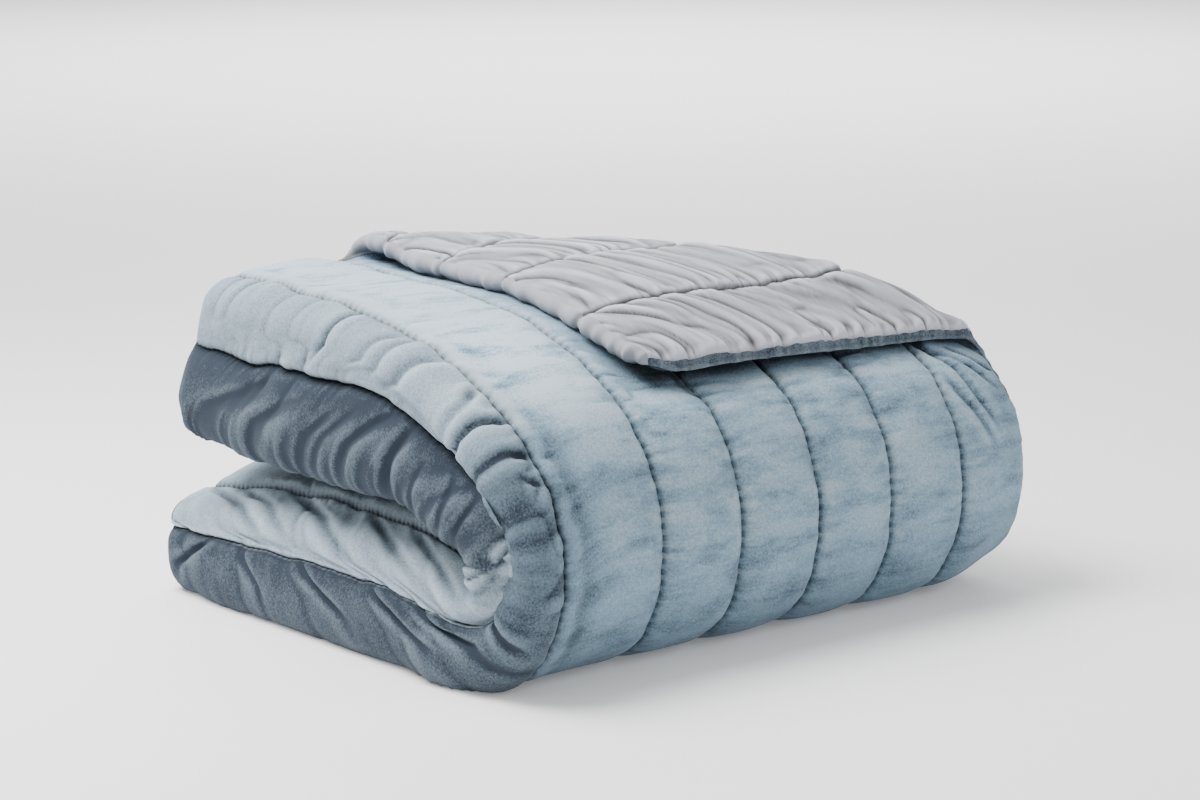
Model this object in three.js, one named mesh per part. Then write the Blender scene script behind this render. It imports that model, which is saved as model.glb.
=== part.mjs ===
// A channel-quilted velvet quilt, folded in thirds across its channels and then in half along
// them, with the free corner of its top layer turned back to show the plain reverse cloth.
// Millimetres, +Z up. The left end (-X) is the fold in thirds, the front (-Y) the fold in half.
import * as THREE from "three";

// The quilt laid flat: channels run along its length and repeat across its width.
const PITCH = 105; // between two quilting lines
const CHANNELS_TOP = 7; // from the fold at the left end to the free side edge
const CHANNELS_UNDER = 12; // from that fold, under and round the right end, to the tucked edge
const HEM = 14; // by which the channel on the free side edge is wider
const DRAWN = 16; // by which the channel next to the left end's is wider

// Loft: half of the thickness of one layer, and the shares of it that are kept in places.
const CROWN = 26; // in the middle of a channel
const STITCHED = 14; // on a quilting line
const SEAM = 7; // on the sewn outer edge
const FLATNESS = 0.6; // share of a flat-topped section in a channel's round one
const EDGE_TAPER = 34; // over which the ends of the channels thin down to the seam
const FLAP_LOFT = 0.5; // on the turned corner
const PRESSED_LOFT = 0.64; // under the turned corner
const PRESS_MARGIN = 45; // over which it fades out beside the corner
const SIDE_LOFT = 0.82; // in the channel on the free side edge
const FOLD_LOFT = 1.15; // on the outside of the left fold
const FOLD_INSIDE = 0.15; // on the inside of the left fold
const FOLD_FADE = 0.3 * PITCH; // over which both fade out
const FOLD_PAST = 1 / 3; // share of that past the quilting line beside the fold

// The section of the fold in thirds, seen from the front.
const HINGE_X = 36; // middle of the cloth on the quilting line that the left fold turns on
const LEFT_RADIUS = 18; // corners of the left fold
const STACK = 128; // nominal height between the top and the bottom third
const RIGHT_FOLD_X = 666; // where the lower third starts to turn up
const RIGHT_RADIUS = STACK / 4; // it turns up to the middle third
const SIDE_TUCK = 0.1; // share of the stack that the free side edge sinks by
const FORWARD_REACH = 1.5 * PITCH; // from the left end, where the inner layer still comes forward

// The back edge of the top layer runs askew at the left end, the lower inner layer slopes down to
// that end, and the end of the inner fold sags there, all fading out by a distance from the end.
const SKEW = { by: 36, reach: 240, run: 260 };
const SLOPE = { down: 32, from: 1.7 * PITCH, over: 1.3 * PITCH };
const SAG = { y: -4, z: 160, radius: 55, forward: 34, down: 40, from: 1.6 * PITCH, over: 1.4 * PITCH };

// The corner turned back on a crease at 45 degrees, measured from the free corner.
const CELL = PITCH / 4; // grid on the top layer, so that the crease follows its diagonals
const CREASE_FROM_CORNER = 20.5 * CELL; // along either edge
const CREASE_RADIUS = 18;
const DROOP = { by: 10, edge: 70, crease: 60, corner: 120 }; // of its back edge, fading out over these

// The reverse cloth that shows on the turned corner.
const REVERSE_THICK = 2;
const REVERSE_GAP = 0.5;
const REVERSE_CELLS = 18; // along either edge, from the free corner

const VELVET_COLOUR = 0x8fa3b1;
const REVERSE_COLOUR = 0xa9a8ad;

// The section of the fold in half, seen from the left end: the middle of the cloth of the outer
// and the inner layer. forward is how far the inner layer comes to the front at the left end,
// loft the share of the loft that the inner layer keeps, and hinge the share of the way from the
// outer to the inner layer at which the left end has its quilting line.
const FOLD_ROWS = [
  { name: "top, back edge", outY: 486, outZ: 332, inY: 500, inZ: 196, forward: 0, loft: 1, hinge: 0.42 },
  { name: "top, back", outY: 310, outZ: 325, inY: 345, inZ: 192, forward: 0, loft: 1, hinge: 0.42 },
  { name: "top, middle", outY: 200, outZ: 320, inY: 235, inZ: 191, forward: 0, loft: 1, hinge: 0.41 },
  { name: "top, shoulder", outY: 110, outZ: 304, inY: 150, inZ: 190, forward: 12, loft: 0.96, hinge: 0.38 },
  { name: "shoulder", outY: 40, outZ: 277, inY: 100, inZ: 187, forward: 36, loft: 0.76, hinge: 0.35 },
  { name: "nose, upper", outY: -20, outZ: 243, inY: 78, inZ: 183, forward: 60, loft: 0.55, hinge: 0.33 },
  { name: "nose, high", outY: -58, outZ: 195, inY: 67, inZ: 173, forward: 70, loft: 0.44, hinge: 0.33 },
  { name: "nose, front", outY: -72, outZ: 150, inY: 64, inZ: 162, forward: 72, loft: 0.42, hinge: 0.34 },
  { name: "nose, low", outY: -72, outZ: 108, inY: 67, inZ: 151, forward: 70, loft: 0.44, hinge: 0.36 },
  { name: "nose, lower", outY: -62, outZ: 68, inY: 78, inZ: 141, forward: 60, loft: 0.55, hinge: 0.39 },
  { name: "heel", outY: -36, outZ: 37, inY: 100, inZ: 137, forward: 36, loft: 0.72, hinge: 0.42 },
  { name: "bottom, front", outY: 18, outZ: 20, inY: 140, inZ: 136, forward: 12, loft: 0.84, hinge: 0.48 },
  { name: "bottom, middle", outY: 120, outZ: 19, inY: 205, inZ: 137, forward: 0, loft: 0.86, hinge: 0.5 },
  { name: "bottom, back", outY: 310, outZ: 19, inY: 345, inZ: 133, forward: 0, loft: 0.86, hinge: 0.5 },
  { name: "bottom, back edge", outY: 516, outZ: 20, inY: 530, inZ: 116, forward: 0, loft: 0.74, hinge: 0.5 },
];
const LAST_ROW = FOLD_ROWS.length - 1;
const NOSE_ROW = 6; // the first row past the reach of the turned corner

const clamp01 = (t) => Math.min(1, Math.max(0, t));
const lerp = (a, b, t) => a + (b - a) * t;
const smooth = (t) => clamp01(t) ** 2 * (3 - 2 * clamp01(t));
const rounded = (t) => Math.sqrt(1 - (1 - clamp01(t)) ** 2);

// A smooth curve through one column of the table, at row t, carried on straight before its start.
function column(key, t) {
  const at = (k) => FOLD_ROWS[Math.min(LAST_ROW, Math.max(0, k))][key];
  if (t < 0) return at(0) + t * (at(1) - at(0));
  const i = Math.min(LAST_ROW - 1, Math.floor(t));
  const f = t - i;
  const f2 = f * f;
  const f3 = f2 * f;
  const slopeIn = (at(i + 1) - at(i - 1)) / 2;
  const slopeOut = (at(i + 2) - at(i)) / 2;
  const ends = (2 * f3 - 3 * f2 + 1) * at(i) + (3 * f2 - 2 * f3) * at(i + 1);
  return ends + (f3 - 2 * f2 + f) * slopeIn + (f3 - f2) * slopeOut;
}

// The quilting lines, counted from the left hinge, to the top layer when negative, with the free
// side edge and the tucked edge as the first and the last.
function lineAt(k) {
  return k * PITCH - (k < -1 ? DRAWN : 0) - (k === -CHANNELS_TOP ? HEM : 0);
}

// The section of the fold in thirds at run s, measured along the cloth from the left hinge: its x,
// and its share of the way from outer (0) to inner layer (1).
const SIDE_RUN = -lineAt(-CHANNELS_TOP);
const LEFT_UPRIGHT = STACK / 2 - LEFT_RADIUS;
const LEFT_RUN = LEFT_UPRIGHT + (Math.PI / 2) * LEFT_RADIUS;
const LEFT_END_X = HINGE_X + LEFT_RADIUS;
const SIDE_X = LEFT_END_X + SIDE_RUN - LEFT_RUN;
const UNDER_RUN = LEFT_RUN + RIGHT_FOLD_X - LEFT_END_X;
const RIGHT_TURN = Math.PI * RIGHT_RADIUS;

const topShare = (x) => SIDE_TUCK * smooth((x - SIDE_X + PITCH) / PITCH);

function acrossSection(s) {
  const run = Math.abs(s);
  const side = Math.sign(s);
  if (run <= LEFT_UPRIGHT) return { x: HINGE_X, share: 0.5 + s / STACK };
  if (run <= LEFT_RUN) {
    const turn = (run - LEFT_UPRIGHT) / LEFT_RADIUS;
    const rise = LEFT_UPRIGHT + LEFT_RADIUS * Math.sin(turn);
    return { x: HINGE_X + LEFT_RADIUS * (1 - Math.cos(turn)), share: 0.5 + (side * rise) / STACK };
  }
  const straightX = LEFT_END_X + run - LEFT_RUN;
  if (s < 0) return { x: straightX, share: topShare(straightX) };
  if (run <= UNDER_RUN) return { x: straightX, share: 1 };
  const past = run - UNDER_RUN;
  const turn = Math.min(past / RIGHT_RADIUS, Math.PI);
  const back = Math.max(0, past - RIGHT_TURN);
  return {
    x: RIGHT_FOLD_X + RIGHT_RADIUS * Math.sin(turn) - back,
    share: 1 - (RIGHT_RADIUS * (1 - Math.cos(turn))) / STACK,
  };
}

// Length along the outer layer from its back edge, as a table over rows, and the way back.
const RUN_STEPS = 40;
const OUTER_RUN = [0];
for (let k = 1; k <= LAST_ROW * RUN_STEPS; k++) {
  const step = (key) => column(key, k / RUN_STEPS) - column(key, (k - 1) / RUN_STEPS);
  OUTER_RUN.push(OUTER_RUN[k - 1] + Math.hypot(step("outY"), step("outZ")));
}
const OUTER_LONG = OUTER_RUN[OUTER_RUN.length - 1];

function runAtRow(t) {
  const k = Math.min(OUTER_RUN.length - 2, Math.max(0, Math.floor(t * RUN_STEPS)));
  return lerp(OUTER_RUN[k], OUTER_RUN[k + 1], t * RUN_STEPS - k);
}

function rowAtRun(run) {
  const k = Math.max(0, OUTER_RUN.findIndex((v) => v > run) - 1);
  return (k + (run - OUTER_RUN[k]) / (OUTER_RUN[k + 1] - OUTER_RUN[k])) / RUN_STEPS;
}

const NOSE_RUN = runAtRow(NOSE_ROW);

// The share between the layers on the left end, bent so that its quilting line is where the table
// has it.
function foldShare(s, share, t) {
  if (Math.abs(s) > LEFT_RUN) return share;
  return share * (1 - 2 * (1 - 2 * column("hinge", t)) * (1 - share));
}

// The middle of the cloth before its corner is turned back, at place x, share, row t.
function stackPoint(x, share, t) {
  const run = runAtRow(t);
  const reach = smooth((FORWARD_REACH - x) / PITCH);
  const innerY = column("inY", t) - reach * column("forward", t);
  const askew = SKEW.by * smooth((SKEW.reach - x) / SKEW.reach) * smooth(1 - run / SKEW.run);
  const y = lerp(column("outY", t) - askew, innerY, share);
  const lower = smooth((run - NOSE_RUN) / PITCH) * smooth((share - 0.45) / 0.5);
  const sloped = SLOPE.down * lower * smooth((SLOPE.from - x) / SLOPE.over);
  const z = lerp(column("outZ", t), column("inZ", t), share) - sloped;
  const near = Math.exp(-((y - SAG.y) ** 2 + (z - SAG.z) ** 2) / (2 * SAG.radius ** 2));
  const sagged = near * smooth((SAG.from - x) / SAG.over);
  return new THREE.Vector3(x, y - SAG.forward * sagged, z - SAG.down * sagged);
}

// How far a place on the top layer lies past the crease, towards the free corner.
const CREASE_X = SIDE_X - CREASE_FROM_CORNER;
const ROLL_LONG = Math.PI * CREASE_RADIUS;
const CORNER_SHIFT = CREASE_FROM_CORNER - ROLL_LONG / Math.SQRT2;

function pastCrease(s, t) {
  if (s > -PITCH || t > NOSE_ROW) return -CREASE_FROM_CORNER;
  return (acrossSection(s).x - CREASE_X - runAtRow(t)) / Math.SQRT2;
}

// The middle of the cloth at run s across the channels and row t along them. Slopes are taken over
// these steps.
const RUN_STEP = 1;
const ROW_STEP = 0.02;

function middle(s, t) {
  const { x, share } = acrossSection(s);
  const past = pastCrease(s, t);
  if (past <= 0) return stackPoint(x, foldShare(s, share, t), t);
  const turn = Math.min(past / CREASE_RADIUS, Math.PI);
  const back = Math.max(0, past - ROLL_LONG);
  const shift = (CREASE_RADIUS * Math.sin(turn) - back - past) / Math.SQRT2;
  const offEdge = smooth(1 - runAtRow(t) / DROOP.edge) * smooth((s + SIDE_RUN) / DROOP.corner);
  const lift = CREASE_RADIUS * (1 - Math.cos(turn)) - DROOP.by * offEdge * smooth(back / DROOP.crease);
  const flatX = x + shift;
  const flatShare = topShare(flatX);
  const row = rowAtRun(runAtRow(t) - shift);
  const ahead = stackPoint(flatX, flatShare, row + ROW_STEP);
  const along = ahead.sub(stackPoint(flatX, flatShare, row - ROW_STEP));
  const up = new THREE.Vector3(0, along.z, -along.y).normalize();
  return stackPoint(flatX, flatShare, row).addScaledVector(up, lift);
}

// The velvet side's direction there.
function outward(s, t) {
  const across = middle(s - RUN_STEP, t).sub(middle(s + RUN_STEP, t));
  const along = middle(s, t + ROW_STEP).sub(middle(s, t - ROW_STEP));
  return along.cross(across).normalize();
}

// Half of the thickness at run s and row t, on one side of the cloth's middle: full in a channel,
// drawn in on quilting lines and seams.
function puff(s) {
  let k = -CHANNELS_TOP;
  while (k < CHANNELS_UNDER - 1 && s >= lineAt(k + 1)) k += 1;
  const across = (s - lineAt(k)) / (lineAt(k + 1) - lineAt(k));
  const fromLine = 1 - Math.abs(2 * across - 1);
  return lerp(rounded(fromLine), rounded(2 * fromLine), FLATNESS);
}

function pressed(s, t) {
  const past = pastCrease(s, t);
  if (past > 0) return lerp(PRESSED_LOFT, FLAP_LOFT, smooth(past / ROLL_LONG));
  if (s > -PITCH || t > NOSE_ROW) return 1;
  const beside = smooth((acrossSection(s).x - SIDE_X + CORNER_SHIFT) / PRESS_MARGIN + 1);
  const infront = smooth((CORNER_SHIFT - runAtRow(t)) / PRESS_MARGIN + 1);
  const atCrease = smooth(1 + past / PRESS_MARGIN);
  return lerp(1, PRESSED_LOFT, Math.max(beside * infront, atCrease));
}

function halfLoft(s, t, side) {
  const inner = lerp(1, column("loft", t), smooth(acrossSection(s).share));
  const onSide = lerp(1, SIDE_LOFT, smooth((lineAt(1 - CHANNELS_TOP) - s) / PITCH));
  const nearFold = smooth((PITCH - Math.abs(s)) / FOLD_FADE + FOLD_PAST);
  const fold = lerp(1, side > 0 ? FOLD_LOFT : FOLD_INSIDE, nearFold);
  const full = lerp(STITCHED, CROWN, puff(s)) * inner * onSide * fold * pressed(s, t);
  const run = runAtRow(t);
  const ends = rounded(Math.min(run, OUTER_LONG - run) / EDGE_TAPER);
  return lerp(SEAM, full, ends);
}

// Where the cloth is sampled: even cells along the top layer as far as the nose, then by the table,
// closer at its end, where the last channel ends thin down.
const TOP_CELLS = Math.floor(NOSE_RUN / CELL);
const LAST_ROWS = [0.4, 0.85, 1];
const ROWS = Array.from({ length: TOP_CELLS + 1 }, (_, k) => rowAtRun(k * CELL));
for (let t = NOSE_ROW + 0.5; t <= LAST_ROW - 1; t += 0.5) ROWS.push(t);
ROWS.push(...LAST_ROWS.map((f) => LAST_ROW - 1 + f));

const IN_CHANNEL = {
  shown: [0, 0.25, 0.5, 0.75],
  folded: [0, 0.12, 0.3, 0.5, 0.7, 0.88],
  turned: [0, 0.2, 0.4, 0.6, 0.8],
  hidden: [0, 0.5],
};
const ACROSS = [];
for (let k = -CHANNELS_TOP; k < CHANNELS_UNDER; k++) {
  const rightTurn = k === CHANNELS_TOP - 1 || k === CHANNELS_TOP;
  const kind = Math.abs(k + 0.5) < 1 ? "folded" : k < 0 ? "shown" : rightTurn ? "turned" : "hidden";
  ACROSS.push(...IN_CHANNEL[kind].map((f) => lerp(lineAt(k), lineAt(k + 1), f)));
}
ACROSS.push(lineAt(CHANNELS_UNDER));

// One side of the quilt at a grid place: velvet at side 1, reverse at side -1, pressed flat on the floor.
function quiltSide(i, j, side, extra = 0) {
  const s = ACROSS[i];
  const t = ROWS[j];
  const reach = side * (halfLoft(s, t, side) + extra);
  const point = middle(s, t).addScaledVector(outward(s, t), reach);
  point.z = Math.max(0, point.z);
  return point;
}

// A closed sheet between two sides of the grid, over the cells that keep(i, j) takes whole, or as
// the half next to the free corner.
const WHOLE = 2;
const HALF = 1;

function closedSheet(keep, front, back) {
  const points = [];
  const faces = [];
  const known = new Map();
  const at = (i, j, side) => {
    const key = `${i},${j},${side}`;
    if (!known.has(key)) {
      known.set(key, points.length / 3);
      points.push(...(side > 0 ? front(i, j) : back(i, j)).toArray());
    }
    return known.get(key);
  };
  const edges = new Map();
  const triangle = (corners) => {
    faces.push(...corners.map(([i, j]) => at(i, j, 1)));
    faces.push(...corners.map(([i, j]) => at(i, j, -1)).reverse());
    corners.forEach((from, k) => {
      const to = corners[(k + 1) % 3];
      if (!edges.delete(`${to}>${from}`)) edges.set(`${from}>${to}`, [from, to]);
    });
  };
  for (let i = 0; i < ACROSS.length - 1; i++) {
    for (let j = 0; j < ROWS.length - 1; j++) {
      if (keep(i, j) >= HALF) triangle([[i, j], [i + 1, j], [i, j + 1]]);
      if (keep(i, j) >= WHOLE) triangle([[i + 1, j], [i + 1, j + 1], [i, j + 1]]);
    }
  }
  for (const [[a, b], [c, d]] of edges.values()) {
    faces.push(at(a, b, 1), at(a, b, -1), at(c, d, -1), at(a, b, 1), at(c, d, -1), at(c, d, 1));
  }
  const geometry = new THREE.BufferGeometry();
  geometry.setAttribute("position", new THREE.BufferAttribute(new Float32Array(points), 3));
  geometry.setIndex(faces);
  return geometry;
}

const quiltGeometry = closedSheet(
  () => WHOLE,
  (i, j) => quiltSide(i, j, 1),
  (i, j) => quiltSide(i, j, -1),
);

// The reverse cloth lies on the turned corner, just clear of the quilt.
const reverseGeometry = closedSheet(
  (i, j) => Math.min(WHOLE, Math.max(0, REVERSE_CELLS - i - j)),
  (i, j) => quiltSide(i, j, -1, REVERSE_GAP),
  (i, j) => quiltSide(i, j, -1, REVERSE_GAP + REVERSE_THICK),
);

// The origin is under the middle of the folded quilt, on the floor.
quiltGeometry.computeBoundingBox();
const { min, max } = quiltGeometry.boundingBox;

const quilt = new THREE.Group();
function part(name, geometry, colour) {
  const material = new THREE.MeshStandardMaterial({ color: colour, roughness: 0.9, metalness: 0 });
  const mesh = new THREE.Mesh(geometry, material);
  mesh.name = name;
  mesh.position.set(-(min.x + max.x) / 2, -(min.y + max.y) / 2, 0);
  quilt.add(mesh);
}

part("velvet_quilt", quiltGeometry, VELVET_COLOUR);
part("reverse_panel", reverseGeometry, REVERSE_COLOUR);

export default quilt;
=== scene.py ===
"""A channel-quilted velvet quilt, folded in thirds and then in half, with one corner turned back."""
import math
from collections import namedtuple

import bpy
import numpy as np
from bpy.props import FloatProperty, FloatVectorProperty, PointerProperty
from mathutils import Matrix, Vector


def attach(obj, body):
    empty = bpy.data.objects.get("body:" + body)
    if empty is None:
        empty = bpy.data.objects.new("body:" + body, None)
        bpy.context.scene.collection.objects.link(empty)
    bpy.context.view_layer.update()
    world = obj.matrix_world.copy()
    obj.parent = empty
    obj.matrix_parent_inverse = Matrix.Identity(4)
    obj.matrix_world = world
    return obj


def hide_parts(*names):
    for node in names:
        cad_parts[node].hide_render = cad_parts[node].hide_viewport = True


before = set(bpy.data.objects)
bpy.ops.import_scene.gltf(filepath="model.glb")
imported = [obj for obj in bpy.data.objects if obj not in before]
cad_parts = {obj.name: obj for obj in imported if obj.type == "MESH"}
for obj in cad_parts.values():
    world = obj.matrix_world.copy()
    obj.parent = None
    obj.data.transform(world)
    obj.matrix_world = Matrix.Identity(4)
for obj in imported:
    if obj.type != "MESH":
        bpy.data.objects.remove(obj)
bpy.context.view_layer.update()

bl_info = {
    "name": "Folded velvet quilt",
    "version": (1, 0, 0),
    "blender": (4, 5, 0),
    "location": "View3D > Sidebar > Quilt",
    "description": "Builds a folded, channel-quilted velvet quilt with a turned-back corner",
    "category": "Add Mesh",
}

BODY = "root"
MM = 0.001
STITCH_STEP = 0.0105  # from one stitch to the next
FLOOR_REACH = 16  # from the middle of the floor to its edges
MIDDLE_NAP = 0.6  # how far up the nap is where the pile has its middle colour

# Colours, as the eye sees them on a screen, turned into the renderer's linear values.


def linear(red, green, blue):
    """A colour of 0 to 255 on a screen as linear values."""
    def one(value):
        value /= 255
        return value / 12.92 if value <= 0.04045 else ((value + 0.055) / 1.055) ** 2.4
    return one(red), one(green), one(blue)


# The sizes and colours that a user would change.


class QuiltSizes(bpy.types.PropertyGroup):
    pitch: FloatProperty(
        name="Channel pitch", description="Between two quilting lines",
        default=0.105, min=0.06, max=0.16, unit="LENGTH")
    crown: FloatProperty(
        name="Crown", description="Half of a layer's thickness in the middle of a channel",
        default=0.026, min=0.01, max=0.04, unit="LENGTH")
    stitched: FloatProperty(
        name="Stitched", description="Half of a layer's thickness on a quilting line",
        default=0.014, min=0.002, max=0.02, unit="LENGTH")
    seam: FloatProperty(
        name="Seam", description="Half of a layer's thickness on the sewn outer edge",
        default=0.005, min=0.003, max=0.012, unit="LENGTH")
    pucker: FloatProperty(
        name="Puckers", description="Height of the wrinkles beside the quilting lines",
        default=0.0038, min=0, max=0.006, unit="LENGTH")
    end_pucker: FloatProperty(
        name="End puckers", description="Height of the wrinkles on the folded end",
        default=0.009, min=0, max=0.02, unit="LENGTH")
    stitch: FloatProperty(
        name="Stitch length", description="Length of one stitch",
        default=0.0052, min=0.002, max=0.01, unit="LENGTH")
    thread: FloatProperty(
        name="Thread", description="Diameter of the sewing thread",
        default=0.0016, min=0.0004, max=0.003, unit="LENGTH")


class QuiltColours(bpy.types.PropertyGroup):
    # The nap values, which carry painted light and shade as well as the nap, choose between these:
    # pile_dark where shade is painted, pile where light is.
    pile: FloatVectorProperty(
        name="Pile", description="Velvet with its nap brushed up", subtype="COLOR",
        size=3, min=0, max=1, default=linear(168, 183, 194))
    pile_middle: FloatVectorProperty(
        name="Middle pile", description="Velvet with its nap half up", subtype="COLOR",
        size=3, min=0, max=1, default=linear(122, 147, 164))
    pile_end: FloatVectorProperty(
        name="End pile", description="Velvet on the folded end with its nap half up", subtype="COLOR",
        size=3, min=0, max=1, default=linear(132, 147, 158))
    pile_dark: FloatVectorProperty(
        name="Dark pile", description="Velvet with its nap brushed down", subtype="COLOR",
        size=3, min=0, max=1, default=linear(46, 54, 64))
    sheen: FloatVectorProperty(
        name="Sheen", description="Light on the tips of the pile", subtype="COLOR",
        size=3, min=0, max=1, default=linear(205, 220, 232))
    reverse: FloatVectorProperty(
        name="Reverse", description="Plain reverse cloth", subtype="COLOR",
        size=3, min=0, max=1, default=linear(146, 148, 155))
    thread: FloatVectorProperty(
        name="Thread", description="Sewing thread", subtype="COLOR",
        size=3, min=0, max=1, default=linear(48, 59, 70))


class StageLook(bpy.types.PropertyGroup):
    floor: FloatVectorProperty(
        name="Floor", description="Plain pale floor", subtype="COLOR",
        size=3, min=0, max=1, default=(0.86, 0.86, 0.86))
    glow: FloatProperty(
        name="Glow", description="Light that the floor gives, as a light table does",
        default=0.15, min=0, max=3)
    ambient: FloatProperty(
        name="Ambient", description="Strength of the light from all round",
        default=0.5, min=0, max=3)
    overhead: FloatProperty(
        name="Overhead", description="Power of the softbox above",
        default=140, min=0, max=400, unit="POWER")
    side: FloatProperty(
        name="Side", description="Power of the softbox on the left",
        default=12, min=0, max=400, unit="POWER")
    front: FloatProperty(
        name="Front", description="Power of the softbox in front",
        default=30, min=0, max=400, unit="POWER")
    background: FloatProperty(
        name="Background", description="Power of the softbox behind",
        default=700, min=0, max=2000, unit="POWER")
    lens: FloatProperty(
        name="Lens", description="Focal length on a 36 mm sensor",
        default=90, min=20, max=200, unit="CAMERA")


# Smooth noise from hashed lattice points, the same on each run.


def lattice(column, row, seed):
    """A number from -1 to 1 for each lattice point."""
    mixed = (column.astype(np.int64) * 374761393 + row.astype(np.int64) * 668265263 + seed * 2147483647)
    mixed = (mixed ^ (mixed >> 13)) * 1274126177
    mixed = mixed ^ (mixed >> 16)
    return (mixed & 0xFFFF) / 32767.5 - 1


def noise(x, y, seed):
    """Smooth noise from -1 to 1 over the plane."""
    x, y = np.broadcast_arrays(np.asarray(x, float), np.asarray(y, float))
    column, row = np.floor(x), np.floor(y)
    fx, fy = x - column, y - row
    fx = fx * fx * fx * (fx * (fx * 6 - 15) + 10)
    fy = fy * fy * fy * (fy * (fy * 6 - 15) + 10)
    near = lattice(column, row, seed) * (1 - fx) + lattice(column + 1, row, seed) * fx
    far = lattice(column, row + 1, seed) * (1 - fx) + lattice(column + 1, row + 1, seed) * fx
    return near * (1 - fy) + far * fy


def billow(x, y, seed):
    """Noise as soft swellings with creases between them, from 0 to 1."""
    return np.abs(noise(x, y, seed)) ** 0.75


# Curves that the shapes and the looks are made of.


def smooth(t):
    """From 0 to 1, level at both ends."""
    t = np.clip(t, 0, 1)
    return t * t * (3 - 2 * t)


def rounded(t):
    """From 0 to 1, along a quarter of a circle."""
    return np.sqrt(1 - (1 - np.clip(t, 0, 1)) ** 2)


def lerp(a, b, t):
    """From a to b, as t goes from 0 to 1."""
    return a + (b - a) * t


def bell(t):
    """1 at 0, and falling away on both sides."""
    return np.exp(-t**2)


def fading(distance, reach):
    """1 at no distance, and falling away with it."""
    return np.exp(-distance / reach)


def unit(vectors):
    """Vectors brought to a length of 1."""
    return vectors / np.maximum(np.linalg.norm(vectors, axis=-1, keepdims=True), 1e-9)


# The fold, in millimetres, as in the solids: the section of the fold in half seen from the left
# end, with the middle of the outer and of the inner layer. forward is how far the inner layer comes
# to the front at the left end, loft the share of the loft that the inner layer keeps, and hinge the
# share of the way from the outer to the inner layer at which the fold at the left end has its line.
FoldRow = namedtuple("FoldRow", "outer_y outer_z inner_y inner_z forward loft hinge")
FOLD_ROWS = (
    FoldRow(486, 332, 500, 196, 0, 1, 0.39),  # top, back edge
    FoldRow(310, 325, 345, 192, 0, 1, 0.37),
    FoldRow(200, 320, 235, 191, 0, 1, 0.33),
    FoldRow(110, 304, 150, 190, 12, 0.96, 0.29),
    FoldRow(40, 277, 100, 187, 36, 0.76, 0.27),  # shoulder
    FoldRow(-20, 243, 78, 183, 60, 0.55, 0.24),
    FoldRow(-58, 195, 67, 173, 70, 0.44, 0.24),
    FoldRow(-72, 150, 64, 162, 72, 0.42, 0.25),  # front of the nose
    FoldRow(-72, 108, 67, 151, 70, 0.44, 0.28),
    FoldRow(-62, 68, 78, 141, 60, 0.55, 0.36),
    FoldRow(-36, 37, 100, 137, 36, 0.72, 0.5),  # heel
    FoldRow(18, 20, 140, 136, 12, 0.84, 0.56),
    FoldRow(120, 19, 205, 137, 0, 0.86, 0.54),
    FoldRow(310, 19, 345, 133, 0, 0.86, 0.5),
    FoldRow(516, 20, 530, 116, 0, 0.74, 0.5),  # bottom, back edge
)
NOSE_ROW = 6  # where the cloth turns down in front
NOSE_FRONT = 30.0  # from there to the front of the nose
NOSE_REACH = 120.0  # how far from the front of the nose its looks and shapes fade
HEEL_ROW = 11  # where it comes to lie on the floor
BEFORE = 120.0  # how far the curves go straight on behind the back edge
FINE = 0.5  # step of the curves
SIDE_STEP = 1  # half of the steps over which slopes are measured, across the channels
LONG_STEP = 2  # and along them

# The channels on each side of the left fold's hinge, and the fold in thirds.
CHANNELS_TOP = 7
CHANNELS_UNDER = 12
HEM = 14.0  # added to the outermost channel of the top
WIDER = 16.0  # added to the first channel of the top
HINGE_X = 36.0
LEFT_RADIUS = 18.0  # of the bends at the left end
STACK = 128.0  # from the outer to the inner layer there
RIGHT_FOLD_X = 666.0  # where the hidden fold at the right end starts
SIDE_TUCK = 0.1  # how far the top sinks at its right side, as a share of the stack
MIDDLE_X = 376.694  # middle of the solids' outline
MIDDLE_Y = 207.877

# The turned corner: its crease from the corner in quarters of a channel, and the crease's roll.
CREASE_CELLS = 20.5
CREASE_RADIUS = 18.0
EDGE_DROOP = 10.0  # how far its free edge sinks
ROLL_DROOP = 12.0  # how far its roll sinks at the side
HEM_SHIFT = 19.0  # how far its outermost quilting line is moved outwards

# The left end: the back of the top comes forward there by the skew, and the lower inner layer slopes
# down.
SKEW = 46.0
SKEW_TO_X = 240.0
SKEW_RUN = 260.0
SLOPE = 32.0
END_SHIFT = 30.0  # how far its first quilting line is moved towards the hinge, at the back
NOSE_SHIFT = 17.0  # and at the nose
NOSE_DRAWN = 18.0  # how far the end is drawn in at the nose

# The eye of the roll on the left end, where the inner layer is drawn forwards, down and out.
EYE_Y = -4.0
EYE_Z = 160.0
EYE_RADIUS = 55.0
EYE_FORWARD = 34.0
EYE_DOWN = 40.0
EYE_OUT = 24.0
CRUMPLE_S = 46.0  # where the creases round it spread from, across from the hinge
CRUMPLE_RUN = 24.0  # and along from the nose

# Shares of the loft that are left, and half thicknesses.
FLAP_LOFT = 0.5  # on the turned corner
PRESSED_LOFT = 0.64  # under it
PRESS_MARGIN = 45.0  # how far round it the pressing starts
SIDE_LOFT = 0.82  # in the outermost channel of the top
FOLD_LOFT = 1.15  # on the left end
UPPER_LOFT = 0.82  # on its upper part
NOSE_LOFT = 0.75  # on its nose
LOWER_LOFT = 0.5  # on its lower inner part
FOLD_INSIDE = 0.15  # on the inside of the left fold
HEM_THIN = 0.5  # on the sewn sides
EDGE_TAPER = 34.0  # from a sewn end to the full loft
END_STITCHED = 19.0  # half thickness on the left end's first quilting line
END_ROLL = 7.5  # half thickness of a sewn end between the lines
CORNER_PULL = 11.0  # how far the cloth's corners are drawn in
CORNER_REACH = 42.0  # and how far from them that starts
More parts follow.
